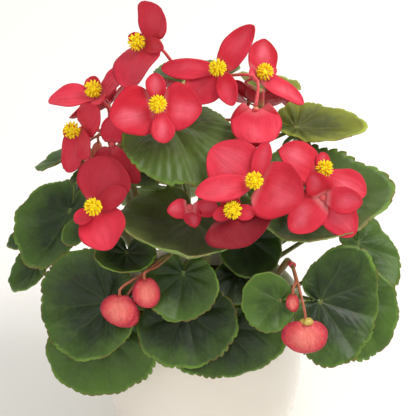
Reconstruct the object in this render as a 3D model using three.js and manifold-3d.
// A red wax begonia in a round white glazed pot, 1:1 in millimetres.
// +Z is up, the origin is the middle of the pot's flat foot, and the front of the plant faces -Y.
import * as THREE from "three";
import { mergeVertices } from "three/addons/utils/BufferGeometryUtils.js";
import Module from "manifold-3d";

const wasm = await Module();
wasm.setup();

// ---------------------------------------------------------------- driving dimensions (mm, degrees)

const GAP = 0.3; // clearance kept between two pieces that touch

const POT = { height: 108, foot: 38, belly: 62, bellyHeight: 60, mouth: 60, wall: 4.5, floor: 6, sides: 32 };
const BOWL = { spread: 14, rise: 4, drop: 32, points: 6 }; // its side's swing from the foot to the belly
const LIP = { bulge: 0.7, soft: 2 }; // how far the rounded lip stands out, and its height
const SOIL = { rim: 93, crown: 4, lump: 1.1, hole: 1, rings: 3, holeSides: 6, cover: 10 };
const STEM = { foot: 78, neck: 98, elbow: 0.45, rootRadius: 3.2, tipRadius: 2, sides: 6, steps: 6 };
const STALK = { root: 1.4, tip: 1.2, back: 0.25, under: 0.2, sides: 4, steps: 3 };
const LEAF = { thickness: 0.9, points: 16, inner: 0.6, tooth: 0.04, ahead: 0.4, fold: 0.1 };
const WAVE = { height: 0.06, count: 3, level: 0.4 }; // the rim's waves, and where the cup crosses level
const MARGIN = { tip: 0.02, notch: 0.7, reach: 0.3 }; // pointed tip, deep notch and their spread in radians
const TEPAL = { thickness: 0.8, root: 1.6, curl: 0.3, girth: 0.6 };
const WIDE = { least: 0.7, shape: 0.85, bowl: 0.15, lift: 0, rows: [0.3, 0.6, 0.87] };
const NARROW = { shape: 1.2, bowl: 0.2, lift: 0.9, rows: [0.5, 0.85] };
const BLOOM = { hub: 2.4, hubHeight: 3.2, hubSides: 6, core: 3.2, anthers: 5.4, stalk: 0.9, behind: 0.3 };
const BUD = { sides: 8, rings: 5, flatness: 0.42, grip: 0.4, hang: 5 };
const SPRAY = { foot: 1.9, neck: 1.7, fork: 1.4, clear: 1.6, sides: 5, stalkSides: 4, steps: 3 };

// ---------------------------------------------------------------- what grows where

// Leafy stems: foot = where it leaves the soil, top = its tip.
// Leaves: at = middle of the blade, size = across and along, lean = tilt of the blade from level,
// toward = compass direction that it tilts to (0 is +X, -90 the front), turn = how far round the tip lies
// from straight downhill, cup = how far the rim rises, fold = how far both halves rise from the midrib,
// tip = how far the tip is drawn out, node = height of its stalk's root.
const STEMS = {
  leafy_stem_front_left: {
    foot: [-22, -18],
    top: [-50, -24, 190],
    leaves: [
      { at: [-64, -60, 153], size: [62, 56], lean: 52, toward: -105, turn: -75, cup: 0.06, node: 136 },
      { at: [-57, -63, 124], size: [66, 54], lean: 56, toward: -98, turn: 10, cup: -0.05, node: 112 },
      { at: [-69, -37, 187], size: [19, 21], lean: 35, toward: -150, turn: 0, cup: 0.3, node: 172 },
      { at: [-43, -53, 180], size: [34, 26], lean: 12, toward: -95, turn: 0, cup: 0.4, node: 158 },
    ],
  },
  leafy_stem_left: {
    foot: [-28, 4],
    top: [-54, 14, 216],
    leaves: [
      { at: [-84, -14, 174], size: [56, 56], lean: 40, toward: -145, turn: 10, cup: 0.2, node: 160 },
      { at: [-104, -8, 137], size: [28, 30], lean: 38, toward: -150, turn: 0, cup: 0.1, node: 124 },
      { at: [-105, -2, 158], size: [22, 24], lean: 30, toward: 190, turn: 0, cup: 0.15, node: 146 },
      { at: [-65, 20, 191], size: [34, 34], lean: 32, toward: 170, turn: 0, cup: 0.12, node: 180 },
    ],
  },
  leafy_stem_front: {
    foot: [0, -28],
    top: [2, -38, 172],
    leaves: [
      { at: [-12, -62, 167], size: [41, 38], lean: 45, toward: -95, turn: -5, cup: 0.12, node: 152 },
      { at: [-8, -67, 143], size: [57, 46], lean: 48, toward: -100, turn: 20, cup: 0.1, node: 134 },
      { at: [12, -65, 130], size: [70, 40], lean: 50, toward: -90, turn: 6, cup: -0.05, node: 116 },
      { at: [21, -40, 153], size: [32, 28], lean: 34, toward: -75, turn: 0, cup: 0.1, node: 128 },
    ],
  },
  leafy_stem_front_right: {
    foot: [24, -18],
    top: [48, -38, 167],
    leaves: [
      { at: [36, -72, 164], size: [33, 29], lean: 50, toward: -90, turn: -80, cup: 0.1, node: 150 },
      { at: [75, -58, 150], size: [70, 47], lean: 52, toward: -78, turn: 67, cup: 0.08, node: 140 },
      { at: [87, -45, 135], size: [54, 56], lean: 52, toward: -70, turn: 28, cup: -0.05, node: 120 },
    ],
  },
  leafy_stem_right: {
    foot: [30, 6],
    top: [56, 2, 180],
    leaves: [
      {
        at: [62, -17, 193],
        size: [70, 76],
        lean: 20,
        toward: -85,
        turn: 97,
        cup: 0.16,
        tip: 0.2,
        node: 168,
      },
      { at: [97, -11, 150], size: [41, 47], lean: 45, toward: -42, turn: 0, cup: 0.1, node: 134 },
      { at: [76, 20, 180], size: [42, 40], lean: 26, toward: 30, turn: 0, cup: 0.12, node: 160 },
    ],
  },
  leafy_stem_middle: {
    foot: [6, -6],
    top: [24, -4, 200],
    leaves: [
      { at: [-7, -40, 190], size: [82, 64], lean: 4, toward: -92, turn: 0, cup: 0.22, node: 172 },
      { at: [27, -27, 167], size: [36, 36], lean: 35, toward: -80, turn: 0, cup: 0.1, node: 150 },
    ],
  },
  leafy_stem_top: {
    foot: [-8, 14],
    top: [-12, 24, 236],
    leaves: [
      { at: [-14, -16, 235], size: [62, 66], lean: 10, toward: -100, turn: 34, cup: -0.2, node: 216 },
      { at: [-4, 46, 239], size: [50, 44], lean: 15, toward: 95, turn: 0, cup: 0.2, node: 218 },
      { at: [-36, 33, 213], size: [36, 36], lean: 24, toward: 165, turn: 0, cup: 0.12, node: 194 },
      { at: [-30, 7, 199], size: [36, 34], lean: 12, toward: -170, turn: 0, cup: 0.12, node: 176 },
    ],
  },
  leafy_stem_back_right: {
    foot: [14, 24],
    top: [34, 34, 226],
    leaves: [
      {
        at: [64, 22, 219],
        size: [31, 49],
        lean: 16,
        toward: -60,
        turn: 66,
        cup: 0.05,
        fold: 0.3,
        tip: 0.18,
        node: 200,
      },
      { at: [39, 51, 230], size: [38, 36], lean: 20, toward: 60, turn: 0, cup: 0.2, node: 210 },
    ],
  },
  leafy_stem_back: {
    foot: [-4, 34],
    top: [2, 58, 190],
    leaves: [
      { at: [4, 82, 170], size: [60, 56], lean: 45, toward: 88, turn: 10, cup: 0.1, node: 150 },
      { at: [-26, 80, 130], size: [60, 54], lean: 54, toward: 104, turn: 0, cup: 0.05, node: 120 },
      { at: [36, 78, 132], size: [60, 52], lean: 54, toward: 68, turn: 0, cup: 0.05, node: 126 },
      { at: [-22, 58, 200], size: [42, 42], lean: 22, toward: 100, turn: 0, cup: 0.14, node: 176 },
    ],
  },
  leafy_stem_back_left: {
    foot: [-28, 24],
    top: [-50, 42, 194],
    leaves: [
      { at: [-62, 67, 170], size: [54, 52], lean: 40, toward: 128, turn: -15, cup: 0.12, node: 160 },
      { at: [-76, 50, 132], size: [56, 50], lean: 52, toward: 146, turn: 0, cup: 0.05, node: 118 },
      { at: [-86, 28, 158], size: [42, 44], lean: 40, toward: 165, turn: 0, cup: 0.12, node: 142 },
      { at: [-86, 44, 184], size: [34, 34], lean: 34, toward: 155, turn: 0, cup: 0.12, node: 174 },
    ],
  },
  leafy_stem_back_low: {
    foot: [28, 26],
    top: [58, 44, 186],
    leaves: [
      { at: [80, 61, 165], size: [58, 56], lean: 40, toward: 46, turn: 15, cup: 0.12, node: 154 },
      { at: [84, 42, 130], size: [54, 50], lean: 52, toward: 32, turn: 0, cup: 0.05, node: 118 },
      { at: [60, 42, 203], size: [38, 36], lean: 18, toward: 40, turn: 0, cup: 0.14, node: 178 },
      { at: [95, 23, 152], size: [40, 42], lean: 42, toward: 14, turn: 0, cup: 0.12, node: 140 },
    ],
  },
};

// Blooms: at = the middle of the flower, lean and toward = which way it faces, closed = no stamens show,
// tepals = one row for each: where it lies round the middle (0 downhill, counterclockwise from in front),
// how far it stands up out of the flower's plane, its length and its width, and for some a shape of their
// own, which is higher where a tepal is broadest near its tip. lobe = how far a tepal's sides reach back
// past its root, as in a heart.
const BLOOMS = {
  bloom_01: {
    at: [-32, 14, 278],
    lean: 60,
    toward: -135,
    tepals: [[166, 20, 24, 28, 1.9], [30, 38, 30, 32], [100, 30, 23, 9], [265, 30, 11, 8]],
  },
  bloom_02: {
    at: [-58, 8, 247],
    lean: 30,
    toward: 190,
    tepals: [[-12, 34, 29, 20], [190, 18, 26, 20], [275, 38, 15, 10], [95, 22, 15, 10]],
  },
  bloom_03: {
    at: [-69, 3, 229],
    lean: 68,
    toward: 222,
    tepals: [[150, 4, 20, 21], [3, 10, 26, 20], [62, 20, 21, 14], [300, 22, 12, 8]],
  },
  bloom_04: {
    at: [-24, -20, 258],
    lean: 48,
    toward: -92,
    tepals: [[287, 12, 27, 28], [86, 15, 24, 26], [12, 20, 22, 13, 1.9], [188, 20, 18, 11, 1.6]],
  },
  bloom_05: {
    at: [10, 6, 266],
    lean: 52,
    toward: -110,
    tepals: [[151, 16, 31, 16, 0.85], [-30, 18, 25, 23], [36, 24, 24, 12], [281, 20, 33, 12]],
  },
  bloom_06: {
    at: [30, 20, 254],
    lean: 50,
    toward: -30,
    tepals: [[122, 20, 24, 21], [26, 15, 33, 14, 0.9], [75, 38, 13, 9], [250, 32, 13, 9]],
  },
  bloom_07: {
    at: [29, -11, 251],
    lean: 140,
    toward: -92,
    closed: true,
    lobe: 6,
    tepals: [[180, 80, 25, 28], [0, 82, 23, 26]],
  },
  bloom_08: {
    at: [28, -46, 226],
    lean: 48,
    toward: -95,
    tepals: [[236, 12, 30, 31], [70, 15, 28, 33], [287, 28, 34, 15], [165, 18, 23, 10]],
  },
  bloom_09: {
    at: [16, -54, 213],
    lean: 52,
    toward: -90,
    tepals: [[26, 18, 21, 40], [195, 38, 10, 11], [80, 30, 13, 9], [290, 32, 12, 8]],
  },
  bloom_10: {
    at: [65, -24, 217],
    lean: 35,
    toward: -60,
    tepals: [[40, 15, 28, 20, 1.3], [231, 25, 29, 24], [150, 30, 12, 8], [345, 25, 14, 9]],
  },
  bloom_11: {
    at: [66, -40, 212],
    lean: 62,
    toward: -90,
    closed: true,
    tepals: [[40, 6, 27, 20], [-47, 18, 26, 21], [86, 28, 22, 15], [205, 30, 17, 14]],
  },
  bloom_12: {
    at: [-58, -46, 209],
    lean: 50,
    toward: -105,
    tepals: [[172, 15, 29, 31, 1.3], [29, 15, 25, 27], [126, 22, 21, 12], [316, 25, 14, 9, 1.6]],
  },
  bloom_13: {
    at: [-51, -8, 226],
    lean: 75,
    toward: -100,
    closed: true,
    tepals: [[182, 6, 17, 13], [0, 8, 22, 20], [42, 14, 26, 12]],
  },
  bloom_14: {
    at: [-8, 84, 211],
    lean: 50,
    toward: 100,
    tepals: [[95, 15, 27, 28], [275, 15, 26, 28], [5, 20, 20, 12], [185, 20, 18, 11]],
  },
  bloom_15: {
    at: [28, 70, 208],
    lean: 55,
    toward: 70,
    tepals: [[60, 20, 25, 27], [245, 15, 26, 27], [150, 22, 18, 11], [335, 22, 18, 11]],
  },
  bloom_16: {
    at: [-58, 58, 212],
    lean: 50,
    toward: 135,
    tepals: [[85, 15, 26, 27], [265, 18, 26, 27], [0, 20, 19, 12], [178, 22, 17, 11]],
  },
  bloom_17: {
    at: [68, 68, 192],
    lean: 55,
    toward: 50,
    tepals: [[100, 15, 26, 27], [285, 18, 25, 27], [10, 20, 19, 12], [190, 22, 17, 11]],
  },
  bloom_18: {
    at: [-7, -48, 211],
    lean: 50,
    toward: -85,
    closed: true,
    tepals: [[278, 20, 13, 11], [10, 25, 12, 10], [82, 10, 16, 10]],
  },
};

// Flower sprays: stem = the leafy stem whose tip it grows on, fork = where its stalks part, blooms = the
// numbers of those it carries, buds = flat discs that hang by their upper edge: their middle, size across
// and down, and which way they face, via = points that their stalk passes on its way.
const SPRAYS = {
  flower_spray_top: { stem: "leafy_stem_top", fork: [-10, 22, 250], blooms: [1, 4, 5, 7], buds: [] },
  flower_spray_left: {
    stem: "leafy_stem_left",
    fork: [-55, 13, 222],
    blooms: [2, 3, 13],
    buds: [
      { at: [-65, -6, 217], size: [8, 10], lean: 75, toward: -120 },
      { at: [-59, -4, 220], size: [8, 10], lean: 75, toward: -80 },
    ],
  },
  flower_spray_front_left: { stem: "leafy_stem_front_left", fork: [-52, -28, 196], blooms: [12], buds: [] },
  flower_spray_front: {
    stem: "leafy_stem_front",
    fork: [-14, -50, 184.5],
    blooms: [],
    buds: [
      { at: [-46, -75, 161], size: [20, 19], lean: 62, toward: -100, via: [[-31, -61, 177]] },
      { at: [-42, -72, 155], size: [14, 14], lean: 62, toward: -85, via: [[-31, -61, 177]] },
      { at: [-31, -71, 170], size: [15, 18], lean: 64, toward: -75, via: [[-25, -60, 180]] },
    ],
  },
  flower_spray_middle: {
    stem: "leafy_stem_middle",
    fork: [26, -10, 206],
    blooms: [8, 9, 10, 11, 18],
    buds: [],
  },
  flower_spray_back_right: { stem: "leafy_stem_back_right", fork: [34, 34, 236], blooms: [6], buds: [] },
  flower_spray_front_right: {
    stem: "leafy_stem_front_right",
    fork: [50, -50, 173],
    blooms: [],
    buds: [
      { at: [56, -84, 150], size: [25, 20], lean: 65, toward: -88, via: [[52, -67, 174]] },
      { at: [49, -76, 167], size: [7, 12], lean: 78, toward: -95, via: [[51, -67, 174]] },
    ],
  },
  flower_spray_back: { stem: "leafy_stem_back", fork: [2, 60, 200], blooms: [14, 15], buds: [] },
  flower_spray_back_left: { stem: "leafy_stem_back_left", fork: [-50, 44, 202], blooms: [16], buds: [] },
  flower_spray_back_low: { stem: "leafy_stem_back_low", fork: [59, 46, 194], blooms: [17], buds: [] },
};

// ---------------------------------------------------------------- small helpers

const rad = THREE.MathUtils.degToRad;
const lerp = THREE.MathUtils.lerp;
const v3 = (x, y, z) => new THREE.Vector3(x, y, z);

// A closed geometry from a list of points and triangles.
function geometryOf(points, triangles) {
  const g = new THREE.BufferGeometry();
  g.setAttribute("position", new THREE.Float32BufferAttribute(points.flatMap((p) => p.toArray()), 3));
  g.setIndex(triangles.flat());
  return g;
}

// A three.js geometry as a manifold-3d solid.
function solidOf(geometry) {
  const bare = geometry.index ? geometry.toNonIndexed() : geometry.clone();
  bare.deleteAttribute("normal");
  bare.deleteAttribute("uv");
  const merged = mergeVertices(bare, 1e-4);
  return new wasm.Manifold(
    new wasm.Mesh({
      numProp: 3,
      vertProperties: merged.attributes.position.array,
      triVerts: new Uint32Array(merged.index.array),
    }),
  );
}

// A manifold-3d solid as a three.js geometry.
function geometryFrom(solid) {
  const mesh = solid.getMesh();
  const g = new THREE.BufferGeometry();
  g.setAttribute("position", new THREE.BufferAttribute(new Float32Array(mesh.vertProperties), 3));
  g.setIndex(new THREE.BufferAttribute(new Uint32Array(mesh.triVerts), 1));
  return g;
}

// Several closed geometries that cross each other, as one.
const joined = (geometries) => geometryFrom(geometries.map(solidOf).reduce((sum, next) => sum.add(next)));

// A round bar that tapers along a curve, with closed ends.
function bar(curve, startRadius, endRadius, sides, steps) {
  const frames = curve.computeFrenetFrames(steps, false);
  const points = [];
  for (let i = 0; i <= steps; i++) {
    const centre = curve.getPointAt(i / steps);
    const radius = lerp(startRadius, endRadius, i / steps);
    for (let k = 0; k < sides; k++) {
      const a = (2 * Math.PI * k) / sides;
      const p = centre.clone().addScaledVector(frames.normals[i], radius * Math.cos(a));
      points.push(p.addScaledVector(frames.binormals[i], radius * Math.sin(a)));
    }
  }
  const triangles = [];
  for (let i = 0; i < steps; i++) {
    for (let k = 0; k < sides; k++) {
      const a = i * sides + k;
      const b = i * sides + ((k + 1) % sides);
      triangles.push([a, b, b + sides], [a, b + sides, a + sides]);
    }
  }
  for (let k = 1; k < sides - 1; k++) {
    triangles.push([0, k + 1, k]);
    triangles.push([steps * sides, steps * sides + k, steps * sides + k + 1]);
  }
  return geometryOf(points, triangles);
}

// A thin shell from two like faces: upper and lower points, the upper face's triangles, its edge in order.
function shell(upper, lower, face, edge) {
  const n = upper.length;
  const under = face.map(([a, b, c]) => [a + n, c + n, b + n]);
  const rim = edge.flatMap((a, i) => {
    const b = edge[(i + 1) % edge.length];
    return [
      [b, a, a + n],
      [b, a + n, b + n],
    ];
  });
  return geometryOf([...upper, ...lower], [...face, ...under, ...rim]);
}

// The direction that something leaning that far toward that compass direction faces.
function facingOf({ lean, toward }) {
  const [l, t] = [rad(lean), rad(toward)];
  return v3(Math.sin(l) * Math.cos(t), Math.sin(l) * Math.sin(t), Math.cos(l));
}

// The matrix that puts local +Z along the facing direction and local +Y downhill, turned about the facing.
function placement({ at, lean, toward, turn = 0 }) {
  const facing = facingOf({ lean, toward });
  const downhill = facingOf({ lean: lean + 90, toward }).applyAxisAngle(facing, rad(turn));
  const across = v3().crossVectors(downhill, facing);
  return new THREE.Matrix4().makeBasis(across, downhill, facing).setPosition(...at);
}

// ---------------------------------------------------------------- leaves

// Distance from the stalk's attachment to the leaf's edge, in the direction theta from the tip.
function leafReach(leaf, theta) {
  const [halfWidth, halfLength] = leaf.size.map((s) => s / 2);
  const [s, c] = [Math.sin(theta) / halfWidth, Math.cos(theta) / halfLength];
  const [a, b] = [s * s + c * c, c * LEAF.ahead];
  const oval = (b + Math.sqrt(b * b + a * (1 - LEAF.ahead ** 2))) / a;
  const tip = 1 + (leaf.tip ?? MARGIN.tip) * Math.exp(-((theta / MARGIN.reach) ** 2));
  const notch = 1 - MARGIN.notch * Math.exp(-(((Math.PI - Math.abs(theta)) / MARGIN.reach) ** 2));
  return oval * tip * notch;
}

// A point of the blade's middle surface: theta = direction from the tip, share = how far out to the edge.
function leafPoint(leaf, theta, share) {
  const halfLength = leaf.size[1] / 2;
  const reach = share * leafReach(leaf, theta);
  const x = reach * Math.sin(theta);
  const y = reach * Math.cos(theta) - LEAF.ahead * halfLength;
  const out = Math.hypot((2 * x) / leaf.size[0], y / halfLength);
  const cup = leaf.cup * (out ** 2 - WAVE.level);
  const wave = WAVE.height * share ** 3 * Math.sin(WAVE.count * theta + leaf.at[0]);
  return v3(x, y, halfLength * (cup + wave) + (leaf.fold ?? LEAF.fold) * Math.abs(x));
}

// A blade has its attachment in the middle, an inner ring of half as many points, and its toothed edge.
function leafBlade(leaf) {
  const half = LEAF.points / 2;
  const angle = (k, count) => -Math.PI + (2 * Math.PI * k) / count;
  const upper = [leafPoint(leaf, 0, 0)];
  for (let k = 0; k < half; k++) upper.push(leafPoint(leaf, angle(k, half), LEAF.inner));
  for (let k = 0; k < LEAF.points; k++) {
    upper.push(leafPoint(leaf, angle(k, LEAF.points), 1 + (k % 2 ? LEAF.tooth : -LEAF.tooth)));
  }
  const lower = upper.map((p) => p.clone().setZ(p.z - LEAF.thickness));
  const face = [];
  const edge = [];
  for (let k = 0; k < half; k++) {
    const [a, b] = [1 + k, 1 + ((k + 1) % half)];
    const c = 1 + half + 2 * k;
    const [d, e] = [c + 1, 1 + half + ((2 * k + 2) % LEAF.points)];
    face.push([0, b, a], [a, b, d], [a, d, c], [b, e, d]);
    edge.unshift(d, c);
  }
  return shell(upper, lower, face, edge).applyMatrix4(placement(leaf));
}

// A stem rises straight out of the soil and then leans to its tip.
function stemCurve(stem) {
  const [x, y] = stem.foot;
  const top = v3(...stem.top);
  const elbow = v3(lerp(x, top.x, STEM.elbow), lerp(y, top.y, STEM.elbow), (STEM.neck + top.z) / 2);
  return new THREE.CatmullRomCurve3([v3(x, y, STEM.foot), v3(x, y, STEM.neck), elbow, top]);
}

// The point of a stem's middle line at a height.
function stemPointAt(curve, height) {
  let [low, high] = [0, 1];
  for (let i = 0; i < 30; i++) {
    const middle = (low + high) / 2;
    if (curve.getPointAt(middle).z < height) low = middle;
    else high = middle;
  }
  return curve.getPointAt(low);
}

// A leaf's stalk: from the stem it swings out under the blade and comes up to the middle of its veins.
function leafStalk(leaf, curve) {
  const matrix = placement(leaf);
  const [across, downhill, facing] = [v3(), v3(), v3()];
  matrix.extractBasis(across, downhill, facing);
  const end = leafPoint(leaf, 0, 0).add(v3(0, 0, -LEAF.thickness)).applyMatrix4(matrix);
  const start = stemPointAt(curve, leaf.node);
  const span = start.distanceTo(end);
  const before = end.clone().addScaledVector(downhill, -STALK.back * span);
  before.addScaledVector(facing, -STALK.under * span);
  const path = new THREE.CatmullRomCurve3([start, before, end]);
  return bar(path, STALK.root, STALK.tip, STALK.sides, STALK.steps);
}

function leafyStem(stem) {
  const curve = stemCurve(stem);
  const stalk = bar(curve, STEM.rootRadius, STEM.tipRadius, STEM.sides, STEM.steps);
  return joined([stalk, ...stem.leaves.flatMap((leaf) => [leafBlade(leaf), leafStalk(leaf, curve)])]);
}

// ---------------------------------------------------------------- blooms

// A point of a tepal's middle surface: along = 0 at the root to 1 at the tip, side = -1 to 1 across it.
function tepalPoint(tepal, along, side) {
  const girth = Math.sin(Math.PI * along ** tepal.shape) ** TEPAL.girth;
  const x = side * (tepal.width / 2) * girth;
  const angle = rad(tepal.rise) * (1 - TEPAL.curl * along);
  const bowl = tepal.bowl * x * side;
  const reach = tepal.length * along - tepal.lobe * Math.abs(side) * (1 - along) ** 1.5;
  const ahead = reach * Math.cos(angle) - bowl * Math.sin(angle);
  const up = reach * Math.sin(angle) + bowl * Math.cos(angle);
  return v3(x, ahead, up + tepal.lift);
}

// The two wide tepals lie below the two narrow ones, which are broadest nearer their tip.
function tepalShell([spin, rise, length, width, ownShape], lobe = 0) {
  const kind = width > WIDE.least * length ? WIDE : NARROW;
  const tepal = { ...kind, rise, length, width, lobe, shape: ownShape ?? kind.shape };
  const rows = [TEPAL.root / length, ...tepal.rows];
  const upper = rows.flatMap((along) => [-1, 0, 1].map((side) => tepalPoint(tepal, along, side)));
  upper.push(tepalPoint(tepal, 1, 0));
  const lower = upper.map((p) => p.clone().setZ(p.z - TEPAL.thickness));
  const tip = upper.length - 1;
  const face = [[tip - 3, tip - 2, tip], [tip - 2, tip - 1, tip]];
  for (let i = 0; i < rows.length - 1; i++) {
    for (const k of [3 * i, 3 * i + 1]) {
      face.push([k, k + 1, k + 4], [k, k + 4, k + 3]);
    }
  }
  const left = rows.map((_, i) => 3 * i);
  const right = rows.map((_, i) => 3 * i + 2);
  const edge = [0, 1, ...right, tip, ...left.slice(1).reverse()];
  return shell(upper, lower, face, edge).rotateZ(rad(spin));
}

function bloomTepals(bloom) {
  const hub = new THREE.CylinderGeometry(BLOOM.hub, BLOOM.hub, BLOOM.hubHeight, BLOOM.hubSides);
  const tepals = bloom.tepals.map((row) => tepalShell(row, bloom.lobe));
  return joined([hub.rotateX(Math.PI / 2), ...tepals]).applyMatrix4(placement(bloom));
}

// A ball of anthers: a small core with a pointed anther on every one of its faces.
function antherBall(bloom) {
  const core = new THREE.IcosahedronGeometry(BLOOM.core).attributes.position;
  const points = [];
  const triangles = [];
  for (let i = 0; i < core.count; i += 3) {
    const corners = [0, 1, 2].map((k) => v3().fromBufferAttribute(core, i + k));
    const middle = corners.reduce((sum, p) => sum.add(p), v3());
    const first = points.length;
    points.push(...corners, middle.setLength(BLOOM.anthers));
    for (let k = 0; k < 3; k++) triangles.push([first + k, first + ((k + 1) % 3), first + 3]);
  }
  const ball = geometryOf(points, triangles).translate(0, 0, BLOOM.anthers + BLOOM.hubHeight / 2 + GAP);
  return joined([ball]).applyMatrix4(placement(bloom));
}

// ---------------------------------------------------------------- sprays

const nameOf = (number) => `bloom_${String(number).padStart(2, "0")}`;

// A stalk that forks off a spray and comes to its bloom from behind.
function bloomStalk(bloom, split) {
  const facing = facingOf(bloom);
  const end = v3(...bloom.at).addScaledVector(facing, -BLOOM.hubHeight / 2 - GAP);
  const before = end.clone().addScaledVector(facing, -BLOOM.behind * end.distanceTo(split));
  const path = new THREE.CatmullRomCurve3([split, before, end]);
  return bar(path, SPRAY.fork, BLOOM.stalk, SPRAY.stalkSides, SPRAY.steps);
}

// A bud on its stalk, which comes down to the bud's upper edge.
function budOnStalk(bud, split) {
  const [across, down] = bud.size;
  const disc = new THREE.SphereGeometry(0.5, BUD.sides, BUD.rings);
  disc.scale(across, down, BUD.flatness * across);
  const end = v3(0, -BUD.grip * down, 0).applyMatrix4(placement(bud));
  const over = end.clone().add(v3(0, 0, BUD.hang));
  const path = new THREE.CatmullRomCurve3([split, ...(bud.via ?? []).map((p) => v3(...p)), over, end]);
  const stalk = bar(path, SPRAY.fork, BLOOM.stalk, SPRAY.stalkSides, SPRAY.steps + 1);
  return [stalk, disc.applyMatrix4(placement(bud))];
}

function spray({ stem, fork, blooms, buds }) {
  const foot = v3(...STEMS[stem].top);
  const split = v3(...fork);
  const up = split.clone().sub(foot).normalize();
  const end = split.clone().addScaledVector(up, 1);
  const stalk = new THREE.LineCurve3(foot.addScaledVector(up, SPRAY.clear), end);
  return joined([
    bar(stalk, SPRAY.foot, SPRAY.neck, SPRAY.sides, 1),
    ...blooms.map((number) => bloomStalk(BLOOMS[nameOf(number)], split)),
    ...buds.flatMap((bud) => budOnStalk(bud, split)),
  ]);
}

// ---------------------------------------------------------------- the pot and the soil

const v2 = (x, y) => new THREE.Vector2(x, y);

// The pot's outside from its foot to its belly, as radius and height.
function bowlCurve() {
  const [foot, belly] = [v2(POT.foot, 0), v2(POT.belly, POT.bellyHeight)];
  const low = v2(POT.foot + BOWL.spread, BOWL.rise);
  const high = v2(POT.belly, POT.bellyHeight - BOWL.drop);
  return new THREE.CubicBezierCurve(foot, low, high, belly).getPoints(BOWL.points);
}

// The pot's inside from the middle of its floor up to just under the lip.
function insideCurve() {
  const wall = bowlCurve().filter((p) => p.y > POT.floor).map((p) => v2(p.x - POT.wall, p.y + 1));
  const mouth = v2(POT.mouth - POT.wall, POT.height - LIP.soft);
  return [v2(0, POT.floor), v2(POT.foot, POT.floor), ...wall, mouth];
}

function potBody() {
  const lip = [
    v2(POT.mouth + LIP.bulge, POT.height - LIP.soft),
    v2(POT.mouth - LIP.bulge, POT.height),
    v2(POT.mouth - POT.wall + LIP.bulge, POT.height),
  ];
  const profile = [v2(0, 0), ...bowlCurve(), ...lip, ...insideCurve().reverse()];
  return joined([new THREE.LatheGeometry(profile, POT.sides).rotateX(Math.PI / 2)]);
}

// The soil's waves at a place on its top.
const lumpAt = (x, y) => SOIL.lump * (Math.sin(0.31 * x + 1) + Math.sin(0.37 * y - 0.2 * x));

// Soil fills the pot. Its top is crowned and lumpy, and each stem stands in a plain hole.
function soilBody() {
  const side = insideCurve()
    .map((p) => v2(Math.max(p.x - GAP, 0), p.y + GAP))
    .filter((p) => p.y < SOIL.rim - SOIL.cover);
  const edge = POT.mouth - POT.wall - GAP;
  const top = [];
  for (let i = SOIL.rings; i >= 0; i--) {
    const share = i / SOIL.rings;
    top.push(v2(edge * share, SOIL.rim + SOIL.crown * (1 - share ** 2)));
  }
  const body = new THREE.LatheGeometry([...side, ...top], POT.sides).rotateX(Math.PI / 2);
  const p = body.attributes.position;
  for (let i = 0; i < p.count; i++) {
    if (p.getZ(i) > SOIL.rim - 1) p.setZ(i, p.getZ(i) + lumpAt(p.getX(i), p.getY(i)));
  }
  const radius = STEM.rootRadius + SOIL.hole;
  const depth = POT.height - STEM.foot;
  const holes = Object.values(STEMS).map(({ foot }) => {
    const hole = new THREE.CylinderGeometry(radius, radius, depth, SOIL.holeSides).rotateX(Math.PI / 2);
    return solidOf(hole.translate(...foot, STEM.foot - GAP + depth / 2));
  });
  return geometryFrom(holes.reduce((rest, hole) => rest.subtract(hole), solidOf(body)));
}

// ---------------------------------------------------------------- the model

const whiteGlaze = new THREE.MeshStandardMaterial({ color: 0xf1ece4, roughness: 0.2 });
const darkSoil = new THREE.MeshStandardMaterial({ color: 0x2e2118, roughness: 0.95 });
const greenLeaf = new THREE.MeshStandardMaterial({ color: 0x3b6a2c, roughness: 0.4 });
const coralStalk = new THREE.MeshStandardMaterial({ color: 0xe0606a, roughness: 0.5 });
const redTepal = new THREE.MeshStandardMaterial({ color: 0xe0304a, roughness: 0.5 });
const yellowAnther = new THREE.MeshStandardMaterial({ color: 0xf7d21c, roughness: 0.7 });

const begonia = new THREE.Group();

function add(name, geometry, material) {
  const mesh = new THREE.Mesh(geometry, material);
  mesh.name = name;
  begonia.add(mesh);
}

add("pot", potBody(), whiteGlaze);
add("soil", soilBody(), darkSoil);
for (const [name, stem] of Object.entries(STEMS)) add(name, leafyStem(stem), greenLeaf);
for (const [name, row] of Object.entries(SPRAYS)) add(name, spray(row), coralStalk);
for (const [name, bloom] of Object.entries(BLOOMS)) {
  add(`${name}_tepals`, bloomTepals(bloom), redTepal);
  if (!bloom.closed) add(`${name}_stamens`, antherBall(bloom), yellowAnther);
}

export default begonia;
